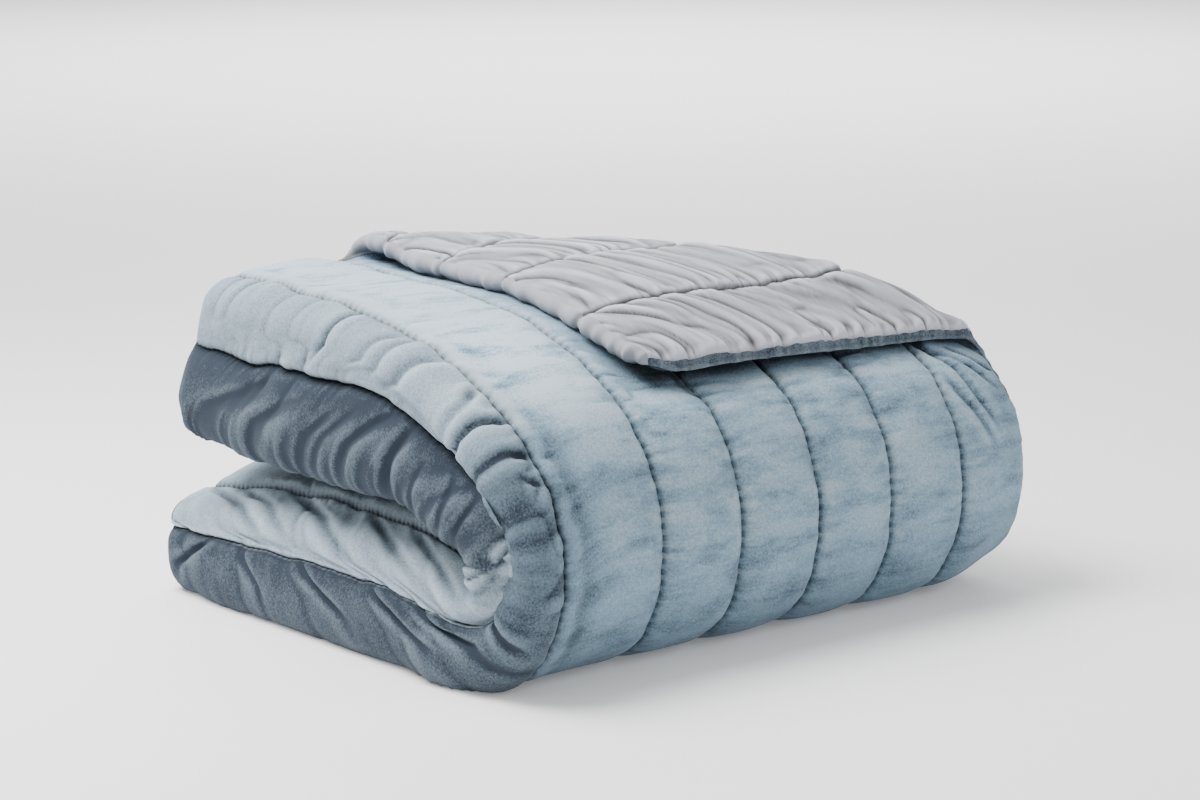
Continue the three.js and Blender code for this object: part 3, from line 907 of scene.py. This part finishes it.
class Shader:
    """A material's node tree."""

    def __init__(self, name):
        self.material = bpy.data.materials.new(name)
        self.material.use_nodes = True
        self.tree = self.material.node_tree
        self.tree.nodes.clear()
        self.tree.nodes.new("ShaderNodeOutputMaterial").name = "out"

    def node(self, kind, settings=None, *values, output=0, **named):
        """Adds a node, sets it up, and links or sets its sockets, in order or by name."""
        made = self.tree.nodes.new(kind)
        for key, value in (settings or {}).items():
            setattr(made, key, value)
        for key, value in [*enumerate(values), *named.items()]:
            index = key if isinstance(key, int) else key.replace("_", " ")
            self.feed(made.inputs[index], value)
        return Socket(self, made.outputs[output])

    def feed(self, entry, value):
        """Links a socket or sets its value."""
        if isinstance(value, Socket):
            self.tree.links.new(value.socket, entry)
        elif value is not None:
            entry.default_value = value

    def mix(self, share, low, high):
        """A colour between two, by share."""
        low, high = (value if isinstance(value, Socket) else (*value, 1) for value in (low, high))
        # The sockets between the share and the colours are for numbers and vectors.
        return self.node("ShaderNodeMix", {"data_type": "RGBA"}, share, *[None] * 5, low, high, output=2)

    def value(self, name):
        """A value that the mesh has on its points."""
        return self.node("ShaderNodeAttribute", {"attribute_name": name}, output="Fac")

    def noise(self, place, scale, detail, roughness=0.5):
        """Smooth noise about 0.5."""
        settings = {"Vector": place, "Scale": scale, "Detail": detail, "Roughness": roughness}
        return self.node("ShaderNodeTexNoise", {}, output="Fac", **settings)

    def scaled(self, colour, by):
        """A colour made lighter or darker."""
        return self.node("ShaderNodeVectorMath", {"operation": "SCALE"}, colour, Scale=by)

    def finish(self, **named):
        """Ends the tree with its surface and gives the material."""
        surface = self.node("ShaderNodeBsdfPrincipled", {}, **named)
        self.tree.links.new(surface.socket, self.tree.nodes["out"].inputs["Surface"])
        return self.material


def velvet_material(colours):
    """Pile with the nap and the painted light and shade that the mesh gives it, streaked, speckled, with
    painted shade in creases and along seams and a painted highlight on crests.
    """
    shader = Shader("velvet_pile")
    place = shader.node("ShaderNodeTexCoord", output="Object")
    cloth = shader.node("ShaderNodeUVMap", {"uv_map": "cloth"})
    run = shader.node("ShaderNodeSeparateXYZ", {}, cloth, output="Y")
    crease = shader.value("crease")
    # The nap value carries painted light and shade as well as the nap.
    lean = shader.value("nap")
    painted_shade = shader.value("painted_shade")
    combed = shader.value("combed")
    # Streaks across the channels, with so many waves a metre across and along them, and blots. Both
    # darken the pile more than they lighten it.
    across = shader.node("ShaderNodeMapping", {}, Vector=cloth, Scale=(13, 44, 1))
    brushed = shader.noise(across, scale=1.0, detail=5, roughness=0.66)
    blots = shader.noise(place, scale=19, detail=5, roughness=0.62)
    streaks = (brushed - 0.5) * (0.5 + combed * 2.1) + (blots - 0.5) * 0.8
    streaks = streaks.math("SMOOTH_MIN", streaks, 0.1, 0.25)
    mottled = 0.36 - combed * 0.26 + lean * (0.14 + combed * 0.58)
    # Speckles from the tips of the pile, and painted shade in creases with a painted highlight on
    # crests.
    tips = shader.noise(place, scale=430, detail=3, roughness=0.7)
    speckles = (tips - 0.5) * (0.5 + lean * 0.7)
    crease_shade_and_crest_light = painted_shade * (0.085 + lean * 0.08 + combed * 0.07)
    # A nap above 1 is a painted highlight: the pile keeps its lightest colour and is brightened.
    painted_highlight = (lean - 1).clamp()
    nap = (lean - painted_highlight + streaks * mottled + speckles - crease_shade_and_crest_light).clamp()
    middle = shader.mix(combed, colours.pile_end, colours.pile_middle)
    half_up = shader.mix((nap / MIDDLE_NAP).clamp(), colours.pile_dark, middle)
    colour = shader.mix(((nap - MIDDLE_NAP) / (1 - MIDDLE_NAP)).clamp(), half_up, colours.pile)
    # Painted shade in the grooves of the quilting lines, darkest in the dimple at each stitch.
    turns = run * (2 * math.pi / STITCH_STEP)
    dashes = (turns.math("SINE", turns) * 1.4 + 0.6).clamp()
    sewn = crease**0.5 * 0.2 + crease * crease * (0.3 + dashes * 0.48)
    shaded = shader.scaled(colour, (1 - sewn) * (1 + painted_highlight * 0.3))
    grain = shader.noise(place, scale=620, detail=3, roughness=0.7)
    bump = shader.node("ShaderNodeBump", {}, Strength=0.4, Distance=0.0012, Height=grain)
    return shader.finish(
        Base_Color=shaded, Roughness=0.95, Normal=bump, Specular_IOR_Level=0.1,
        Sheen_Weight=0.16, Sheen_Roughness=0.4, Sheen_Tint=(*colours.sheen, 1))


def reverse_material(colours):
    """Plain weave with fine crinkles along the channels, with painted shade in creases and along seams
    and a painted highlight on crests.
    """
    shader = Shader("reverse_cloth")
    place = shader.node("ShaderNodeTexCoord", output="Object")
    cloth = shader.node("ShaderNodeUVMap", {"uv_map": "cloth"})
    mottle = shader.noise(place, scale=30, detail=4)
    crinkled = shader.node("ShaderNodeMapping", {}, Vector=cloth, Scale=(45, 260, 1))
    crinkle = shader.noise(crinkled, scale=1.0, detail=4, roughness=0.6)
    threads = {"Vector": cloth, "Scale": 700, "Distortion": 0.6}
    warp = shader.node("ShaderNodeTexWave", {"bands_direction": "X"}, output="Fac", **threads)
    weft = shader.node("ShaderNodeTexWave", {"bands_direction": "Y"}, output="Fac", **threads)
    weave = warp * weft
    # Random mottle, lighter and darker with the crinkles, painted shade in creases and painted light on
    # crests, painted shade along the quilting lines, and the weave.
    light = 0.92 + mottle * 0.2 + (crinkle - 0.5) * 0.5 - shader.value("painted_shade") * 0.6
    light = light * (1 - shader.value("crease") * 0.25) * (0.93 + weave * 0.14)
    bump = shader.node("ShaderNodeBump", {}, Strength=0.6, Distance=0.003, Height=crinkle + weave * 0.1)
    return shader.finish(
        Base_Color=shader.scaled(tuple(colours.reverse), light), Roughness=0.85, Normal=bump,
        Specular_IOR_Level=0.25, Sheen_Weight=0.15, Sheen_Roughness=0.5)


def mottled_colour(shader, colour, lighter, scale):
    """A colour with lighter flecks."""
    place = shader.node("ShaderNodeTexCoord", output="Object")
    flecks = shader.noise(place, scale=scale, detail=2)
    return shader.mix(flecks, colour, tuple(min(1, c * lighter) for c in colour))


def thread_material(colours):
    """Twisted thread."""
    shader = Shader("sewing_thread")
    return shader.finish(Base_Color=mottled_colour(shader, colours.thread, 1.5, 1400), Roughness=0.6)


def floor_material(look):
    """A pale floor that gives a little light itself."""
    shader = Shader("studio_floor")
    return shader.finish(
        Base_Color=mottled_colour(shader, look.floor, 1.02, 3), Roughness=0.9, Specular_IOR_Level=0.1,
        Emission_Color=(1, 1, 1, 1), Emission_Strength=look.glow)


def material(name, maker, group):
    """A material by its name, made if it isn't there yet."""
    return bpy.data.materials.get(name) or maker(group)


# Operators, one for each piece or group of like pieces. The grids are finest where they show most: so
# many steps across each channel, and steps of so many millimetres along it.
SHOWN_STEPS = 44
RUN_STEP = 3.0


class QuiltOperator:
    """What the operators of the quilt's pieces share."""

    bl_options = {"REGISTER", "UNDO"}

    def ready(self, context):
        """Takes the sizes and colours, and makes the cloths if they aren't there yet."""
        self.fold = Fold(context.scene.quilt_sizes)
        self.colours = context.scene.quilt_colours
        self.velvet = material("velvet_pile", velvet_material, self.colours)
        self.reverse = material("reverse_cloth", reverse_material, self.colours)

    def velvet_piece(self, name, *blocks):
        """One piece of the velvet face."""
        settle(cloth_piece(self.fold, name, blocks, 1, self.velvet), ["velvet_quilt"])
        return {"FINISHED"}


class QUILT_OT_outer_face(QuiltOperator, bpy.types.Operator):
    """Adds the velvet face of the top, the rounded fold in front and the underside"""

    bl_idname = "quilt.outer_face"
    bl_label = "Outer velvet face"

    def execute(self, context):
        self.ready(context)
        fold = self.fold
        front = (fold.channel_steps(-CHANNELS_TOP, -1, 32), even(0, fold.heel_run, RUN_STEP))
        under = (fold.channel_steps(-CHANNELS_TOP, -1, 14), even(fold.heel_run, fold.long, 8.0))
        return self.velvet_piece("velvet_outer_face", front, under)


class QUILT_OT_folded_end(QuiltOperator, bpy.types.Operator):
    """Adds the velvet of the two channels on the folded end, which show as four bands"""

    bl_idname = "quilt.folded_end"
    bl_label = "Folded end"

    def execute(self, context):
        self.ready(context)
        bands = (self.fold.channel_steps(-1, 1, SHOWN_STEPS), self.fold.all_runs(RUN_STEP))
        return self.velvet_piece("velvet_folded_end", bands)


class QUILT_OT_inner_face(QuiltOperator, bpy.types.Operator):
    """Adds the velvet face of the layers inside the fold"""

    bl_idname = "quilt.inner_face"
    bl_label = "Inner velvet face"

    def execute(self, context):
        self.ready(context)
        fold = self.fold
        near = (fold.channel_steps(1, 3, 28), fold.all_runs(RUN_STEP))
        deep = (fold.channel_steps(3, CHANNELS_UNDER, 22), even(0, fold.long, 5.0))
        return self.velvet_piece("velvet_inner_face", near, deep)


class QUILT_OT_reverse(QuiltOperator, bpy.types.Operator):
    """Adds the plain reverse cloth, fine on the turned-back corner and plain inside the fold"""

    bl_idname = "quilt.reverse"
    bl_label = "Reverse cloth"

    def execute(self, context):
        self.ready(context)
        fold = self.fold
        top = (fold.channel_steps(-CHANNELS_TOP, -1, SHOWN_STEPS), even(0, fold.nose_run, 2.2))
        corner = cloth_piece(fold, "reverse_turned_corner", [top], -1, self.reverse)
        settle(corner, ["reverse_panel"])
        below = (fold.channel_steps(-CHANNELS_TOP, -1, 12), even(fold.nose_run, fold.long, 9.0))
        inside = (fold.channel_steps(-1, CHANNELS_UNDER, 8), even(0, fold.long, 9.0))
        rest = cloth_piece(fold, "reverse_inside", [below, inside], -1, self.reverse)
        settle(rest, ["velvet_quilt"])
        return {"FINISHED"}


class QUILT_OT_edge_roll(QuiltOperator, bpy.types.Operator):
    """Adds the rolled edges: velvet along the sides, reverse cloth along the ends of the channels"""

    bl_idname = "quilt.edge_roll"
    bl_label = "Rolled edges"

    TURN_STEPS = 10
    # The lip's rings: how far they are from the edge, and how far they stand out of the cloth.
    LIP = ((1.0, 0.9), (1.9, 0.9), (2.6, 0.4), (3.2, -0.9))
    RING_STEP = 2.0  # from one ring to the next on the flat cloth

    def strip(self, s, run, inward, side):
        """The cross-sections of a roll round an edge, from one side of the cloth to a lip on the other;
        inward is the way to the cloth, across and along it."""
        fold = self.fold
        moved = fold.wobble(s, run)
        across, along, out = fold.slopes(moved, run)
        beyond = across * inward[0] - along * inward[1]
        near = fold.half_loft(s, run, side) + fold.wrinkles(s, run, side)
        far = fold.half_loft(s, run, -side)
        gathers = 1.5 * noise(run / 9, s / 50, 71) + 2.5 * noise(s / 10, run / 50, 72)
        centre = fold.middle(moved, run)
        rings = []
        for turn in np.linspace(0, math.pi, self.TURN_STEPS):
            way = out * side * math.cos(turn) + beyond * math.sin(turn)
            reach = lerp(far, near, 0.5 + 0.5 * math.cos(turn)) + gathers * math.sin(turn)
            rings.append(centre + way * reach[:, None])
        for apart, rise in self.LIP:
            inner_s, inner_run = s + inward[0] * apart, run + inward[1] * apart
            inner_moved = fold.wobble(inner_s, inner_run)
            _, _, facing = fold.slopes(inner_moved, inner_run)
            depth = fold.half_loft(inner_s, inner_run, -side) + fold.wrinkles(inner_s, inner_run, -side)
            depth = depth + rise
            rings.append(fold.middle(inner_moved, inner_run) - facing * (side * depth)[:, None])
        return fold.place(np.stack(rings, 1))

    def roll(self, name, edges, side, cloth):
        """One piece of rolled edges."""
        grids = []
        for s, run, inward in edges:
            rings = self.strip(s, run, inward, side)
            count, around = rings.shape[:2]
            flipped = (inward[0] + inward[1]) * (1 if inward[0] else -1) * side > 0
            ring = np.arange(around)
            flat = np.repeat(np.stack([s, run], -1)[:, None], around, 1)
            flat[:, :, 0] += ring * self.RING_STEP * (inward[1] != 0)
            flat[:, :, 1] += ring * self.RING_STEP * (inward[0] != 0)
            plain = np.zeros((count, around))
            values = {
                "crease": plain,
                "nap": np.repeat(NAP_EDGE + 0.12 * noise(run / 6, s / 6, 73), around),
                # Painted shade on the rings that turn under the roll and the lip, where it lies on the
                # cloth.
                "painted_shade": np.tile(1.2 * smooth((ring - 4) / 5), count),
                "combed": plain,
            }
            grids.append(Grid(rings, flipped, flat, values))
        return joined(name, grids, cloth)

    def execute(self, context):
        self.ready(context)
        fold = self.fold
        runs = even(0, fold.long, RUN_STEP)
        shown = fold.channel_steps(-CHANNELS_TOP, 1, SHOWN_STEPS)
        hidden = fold.channel_steps(1, CHANNELS_UNDER, 12)
        widths = np.concatenate([shown, hidden[1:]])
        sides = [
            (np.full_like(runs, -fold.side_run), runs, (1, 0)),
            (np.full_like(runs, fold.under_end), runs, (-1, 0)),
        ]
        ends = [
            (widths, np.zeros_like(widths), (0, 1)),
            (widths, np.full_like(widths, fold.long), (0, -1)),
        ]
        settle(self.roll("velvet_rolled_edge", sides, 1, self.velvet), ["velvet_quilt"])
        settle(self.roll("reverse_rolled_edge", ends, -1, self.reverse), ["velvet_quilt"])
        return {"FINISHED"}


class QUILT_OT_stitching(QuiltOperator, bpy.types.Operator):
    """Adds the sewn stitches along the quilting lines that show"""

    bl_idname = "quilt.stitching"
    bl_label = "Quilting stitches"

    # A stitch's rings: their places as a share of its length, and their share of its radius.
    PROFILE = ((-0.5, 0.0), (-0.42, 0.75), (0.0, 1.0), (0.42, 0.75), (0.5, 0.0))
    SIDES = 6
    FROM_END = 12  # from a sewn end to the first stitch
    PAST_HEEL = 20  # how far under the quilt the stitches go

    def stitches(self, line, runs, side, length, radius):
        """One small bead of thread at each place along a quilting line."""
        fold = self.fold
        s = np.full_like(runs, fold.line(line))
        moved = fold.wobble(s, runs)
        across, along, out = fold.slopes(moved, runs)
        depth = fold.half_loft(s, runs, side) + fold.wrinkles(s, runs, side)
        centre = fold.middle(moved, runs) + out * (side * (depth + 0.5 * radius))[:, None]
        rings = []
        for place, wide in self.PROFILE:
            for k in range(self.SIDES):
                turn = 2 * math.pi * k / self.SIDES
                around = across * math.cos(turn) + out * math.sin(turn)
                rings.append(centre + along * (place * length) + around * (wide * radius))
        return fold.place(np.stack(rings, 1))

    def execute(self, context):
        self.ready(context)
        fold = self.fold
        sizes = context.scene.quilt_sizes
        length = sizes.stitch / MM
        radius = sizes.thread / MM / 2
        thread = material("sewing_thread", thread_material, self.colours)
        runs = np.arange(self.FROM_END, fold.long - self.FROM_END, STITCH_STEP / MM)
        beads = []
        for line in range(1 - CHANNELS_TOP, 2):
            shown = runs if line >= -1 else runs[runs < fold.heel_run + self.PAST_HEEL]
            beads.append(self.stitches(line, shown, 1, length, radius))
        for line in range(1 - CHANNELS_TOP, -1):
            past = fold.past_crease(np.full_like(runs, fold.line(line)), runs)
            beads.append(self.stitches(line, runs[past > 0], -1, length, radius))
        points = np.concatenate(beads)
        rings = len(self.PROFILE)
        k, m = np.meshgrid(np.arange(rings - 1), np.arange(self.SIDES), indexing="ij")
        here = k * self.SIDES + m
        next_side = k * self.SIDES + (m + 1) % self.SIDES
        one = np.stack([here, next_side, next_side + self.SIDES, here + self.SIDES], -1).reshape(-1, 4)
        each = rings * self.SIDES
        faces = (np.arange(len(points))[:, None, None] * each + one[None]).reshape(-1, 4)
        piece = mesh_object("quilting_stitches", points, faces, thread)
        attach(piece, BODY)
        return {"FINISHED"}


class QUILT_OT_stage(bpy.types.Operator):
    """Adds the pale floor, the soft studio light and the camera"""

    bl_idname = "quilt.stage"
    bl_label = "Studio stage"

    # The photograph's camera: its place, and the direction from which it looks, in degrees.
    CAMERA = ((-1653.6 - MIDDLE_X) * MM, (-2243.1 - MIDDLE_Y) * MM, 833.5 * MM)
    AZIMUTH = -39.592
    ELEVATION = 11.080
    SENSOR = 36
    AIM = (0, 0, 0.2)  # the middle of the quilt

    def light(self, name, place, aim, size, power):
        """A rectangular softbox at one place, turned to another."""
        lamp = bpy.data.lights.new(name, "AREA")
        lamp.shape = "RECTANGLE"
        lamp.size, lamp.size_y = size
        lamp.energy = power
        holder = bpy.data.objects.new(name, lamp)
        holder.location = place
        holder.rotation_euler = (Vector(aim) - Vector(place)).to_track_quat("-Z", "Y").to_euler()
        bpy.context.scene.collection.objects.link(holder)

    def execute(self, context):
        look = context.scene.quilt_stage
        corners = np.array([[-1, -1, 0], [1, -1, 0], [1, 1, 0], [-1, 1, 0]], float) * FLOOR_REACH
        pale = material("studio_floor", floor_material, look)
        floor = mesh_object("studio_floor", corners, np.array([[0, 1, 2, 3]]), pale)
        world = bpy.data.worlds.new("studio")
        world.use_nodes = True
        background = world.node_tree.nodes["Background"]
        background.inputs["Color"].default_value = (1, 1, 1, 1)
        background.inputs["Strength"].default_value = look.ambient
        context.scene.world = world
        self.light("overhead_softbox", (-0.9, 0.6, 2.1), self.AIM, (1.5, 1.5), look.overhead)
        self.light("background_softbox", (4.5, 5.5, 3.5), (4.5, 5.5, 0), (6, 6), look.background)
        self.light("front_softbox", (1.2, -2.4, 1.7), self.AIM, (1.6, 1.2), look.front)
        self.light("side_softbox", (-2.4, 0.4, 1.3), self.AIM, (1.2, 1.2), look.side)
        lens = bpy.data.cameras.new("camera")
        lens.lens = look.lens
        lens.sensor_width = self.SENSOR
        camera = bpy.data.objects.new("camera", lens)
        a, e = math.radians(self.AZIMUTH), math.radians(self.ELEVATION)
        back = Vector((math.sin(a) * math.cos(e), -math.cos(a) * math.cos(e), math.sin(e)))
        turned = back.to_track_quat("Z", "Y").to_matrix().to_4x4()
        camera.matrix_world = Matrix.Translation(self.CAMERA) @ turned
        context.scene.collection.objects.link(camera)
        context.scene.camera = camera
        return {"FINISHED"}


OPERATORS = (
    QUILT_OT_outer_face,
    QUILT_OT_folded_end,
    QUILT_OT_inner_face,
    QUILT_OT_reverse,
    QUILT_OT_edge_roll,
    QUILT_OT_stitching,
    QUILT_OT_stage,
)


class QUILT_PT_panel(bpy.types.Panel):
    """Lists the quilt's sizes and colours and the operators that build it"""

    bl_idname = "QUILT_PT_panel"
    bl_label = "Folded velvet quilt"
    bl_space_type = "VIEW_3D"
    bl_region_type = "UI"
    bl_category = "Quilt"

    def draw(self, context):
        for group in (context.scene.quilt_sizes, context.scene.quilt_colours, context.scene.quilt_stage):
            for name in group.__annotations__:
                self.layout.prop(group, name)
        for operator in OPERATORS:
            self.layout.operator(operator.bl_idname)


GROUPS = {"quilt_sizes": QuiltSizes, "quilt_colours": QuiltColours, "quilt_stage": StageLook}
CLASSES = (*GROUPS.values(), *OPERATORS, QUILT_PT_panel)


def register():
    for entry in CLASSES:
        bpy.utils.register_class(entry)
    for name, group in GROUPS.items():
        setattr(bpy.types.Scene, name, PointerProperty(type=group))


def unregister():
    for name in GROUPS:
        delattr(bpy.types.Scene, name)
    for entry in reversed(CLASSES):
        bpy.utils.unregister_class(entry)


def main():
    register()
    for operator in OPERATORS:
        family, name = operator.bl_idname.split(".")
        getattr(getattr(bpy.ops, family), name)()


if __name__ == "__main__":
    main()
